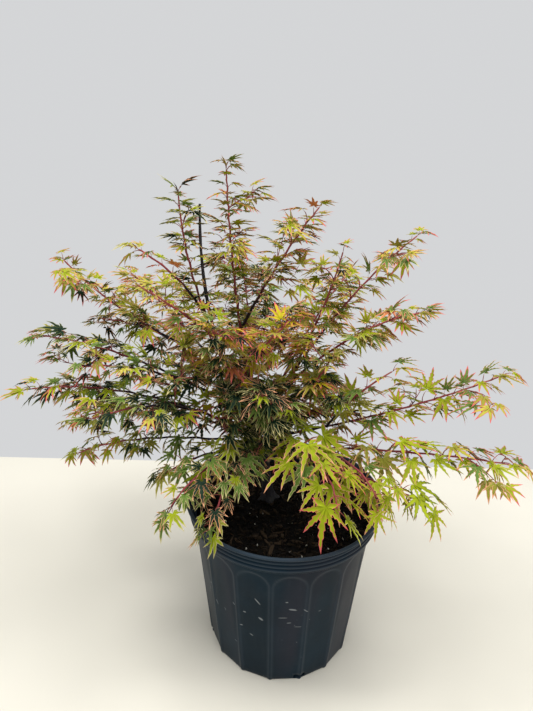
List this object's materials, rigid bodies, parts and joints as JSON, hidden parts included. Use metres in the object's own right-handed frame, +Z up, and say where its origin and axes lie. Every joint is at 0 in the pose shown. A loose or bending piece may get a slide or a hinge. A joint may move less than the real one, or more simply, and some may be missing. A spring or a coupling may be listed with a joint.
{
  "type": "potted japanese maple",
  "caption": "Small many-stemmed japanese maple with tiers of cut, pink-edged leaves, standing in a round dark nursery pot of bark mix.",
  "frame": {"origin": "centre of the pot's flat underside", "axes": "+Z up; -Y is the plant's front and +X is its right, seen from the front"},
  "size_m": [0.6511, 0.4388, 0.6834],
  "materials": {
    "pot_plastic": "dark blue-black moulded plastic, slightly shiny, scuffed",
    "potting_mix": "moist dark bark mix with brown chips and a few pale grains",
    "old_bark": "smooth near-black purple bark",
    "young_bark": "smooth young bark, dark purple to crimson",
    "foliage": "green to lime leaves with cream and pink edges"
  },
  "bodies": {
    "root": {"pot": "pot_plastic", "soil": "potting_mix", "trunk": "old_bark", "cut_stem": "old_bark", "bough_back_left": "young_bark", "bough_back_low_left": "young_bark", "bough_back_low_right": "young_bark", "bough_back_mid": "young_bark", "bough_back_right": "young_bark", "bough_far_left": "young_bark", "bough_front_left": "young_bark", "bough_front_right": "young_bark", "bough_leader": "young_bark", "bough_left_long": "young_bark", "bough_left_low": "young_bark", "bough_left_mid": "young_bark", "bough_left_stem": "young_bark", "bough_left_tier": "young_bark", "bough_right_far_up": "young_bark", "bough_right_front": "young_bark", "bough_right_long": "young_bark", "bough_right_low": "young_bark", "bough_right_mid": "young_bark", "bough_right_stem": "young_bark", "bough_right_up": "young_bark", "foliage_back_left": "foliage", "foliage_back_low_left": "foliage", "foliage_back_low_mid": "foliage", "foliage_back_low_right": "foliage", "foliage_back_mid": "foliage", "foliage_back_right": "foliage", "foliage_centre_front": "foliage", "foliage_centre_left": "foliage", "foliage_centre_low": "foliage", "foliage_centre_right": "foliage", "foliage_far_left": "foliage", "foliage_far_left_side": "foliage", "foliage_front_left": "foliage", "foliage_front_left_b": "foliage", "foliage_front_left_c": "foliage", "foliage_front_right": "foliage", "foliage_front_right_b": "foliage", "foliage_leader": "foliage", "foliage_left_front_up": "foliage", "foliage_left_long": "foliage", "foliage_left_long_side": "foliage", "foliage_left_low": "foliage", "foliage_left_mid": "foliage", "foliage_left_stem": "foliage", "foliage_left_tier": "foliage", "foliage_left_tier_side": "foliage", "foliage_left_up": "foliage", "foliage_right_far_up": "foliage", "foliage_right_front": "foliage", "foliage_right_long": "foliage", "foliage_right_low": "foliage", "foliage_right_mid": "foliage", "foliage_right_stem": "foliage", "foliage_right_thin": "foliage", "foliage_right_up": "foliage"}
  },
  "joints": []
}
